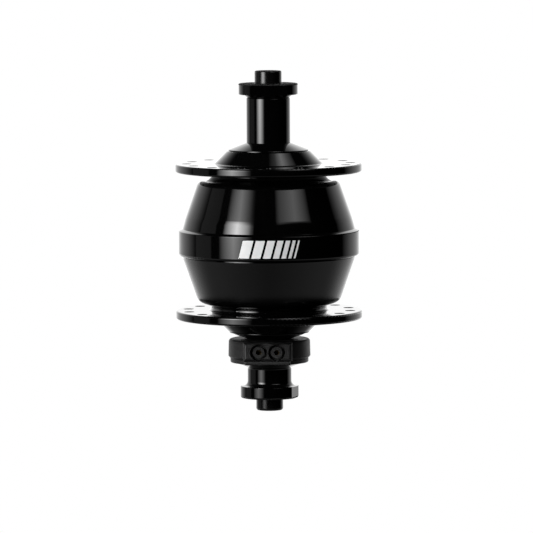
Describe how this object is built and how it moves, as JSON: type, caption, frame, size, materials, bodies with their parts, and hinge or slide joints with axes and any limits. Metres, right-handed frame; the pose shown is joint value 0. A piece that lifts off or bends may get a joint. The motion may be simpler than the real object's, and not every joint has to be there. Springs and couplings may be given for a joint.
{
  "type": "bicycle front hub dynamo",
  "caption": "Front bicycle hub with a built-in generator: hollow quick-release axle, spoked shell turning on sealed bearings round a claw-pole stator, and a two-socket terminal collar.",
  "frame": {"origin": "on the axle's axis, midway between the two locknut faces", "axes": "+Z along the axle towards the plain (left) end, -Y out of the terminal's sockets"},
  "size_m": [0.0594, 0.0594, 0.108],
  "materials": {
    "gloss_black_anodised": "gloss",
    "black_axle": "satin",
    "black_plastic": "satin",
    "bearing_steel": "polished",
    "cage_brass": "satin",
    "seal_rubber": "matte",
    "electrical_iron": "satin",
    "zinc_steel": "satin",
    "magnet_ferrite": "satin",
    "bobbin_plastic": "satin",
    "copper_wire": "enamelled",
    "contact_brass": "bright",
    "lead_insulation": "matte"
  },
  "bodies": {
    "axle_assembly": {"axle": "black_axle", "locknut_left": "gloss_black_anodised", "locknut_right": "gloss_black_anodised", "spacer_left": "gloss_black_anodised", "spacer_right": "gloss_black_anodised", "dust_cap_left": "gloss_black_anodised", "dust_cap_right": "gloss_black_anodised", "terminal_housing": "black_plastic", "terminal_base": "black_plastic", "terminal_contacts": "contact_brass", "lead_wire_a": "lead_insulation", "lead_wire_b": "lead_insulation", "bearing_left_inner_ring": "bearing_steel", "bearing_right_inner_ring": "bearing_steel", "stator_core": "electrical_iron", "claw_pole_left": "electrical_iron", "claw_pole_right": "electrical_iron", "coil_bobbin": "bobbin_plastic", "coil_winding": "copper_wire", "stator_washer": "zinc_steel", "stator_nut": "zinc_steel"},
    "hub_shell": {"shell": "gloss_black_anodised", "shell_cover": "gloss_black_anodised", "shell_o_ring": "seal_rubber", "magnet_yoke": "zinc_steel", "magnets_north": "magnet_ferrite", "magnets_south": "magnet_ferrite", "bearing_left_outer_ring": "bearing_steel", "bearing_right_outer_ring": "bearing_steel", "bearing_left_seals": "seal_rubber", "bearing_right_seals": "seal_rubber"},
    "ball_set_left": {"bearing_left_balls": "bearing_steel", "bearing_left_cage": "cage_brass"},
    "ball_set_right": {"bearing_right_balls": "bearing_steel", "bearing_right_cage": "cage_brass"}
  },
  "joints": [
    {"name": "shell_spin", "type": "hinge", "parent": "axle_assembly", "child": "hub_shell", "pos_m": [0, 0, 0], "axis": [0, 0, 1], "continuous": true},
    {"name": "ball_set_left_spin", "type": "hinge", "parent": "axle_assembly", "child": "ball_set_left", "pos_m": [0, 0, 0.0248], "axis": [0, 0, 1], "continuous": true},
    {"name": "ball_set_right_spin", "type": "hinge", "parent": "axle_assembly", "child": "ball_set_right", "pos_m": [0, 0, -0.0248], "axis": [0, 0, 1], "continuous": true}
  ],
  "couplings": [
    {"joint": "ball_set_left_spin", "follows": "shell_spin", "ratio": 0.59922},
    {"joint": "ball_set_right_spin", "follows": "shell_spin", "ratio": 0.59922}
  ]
}
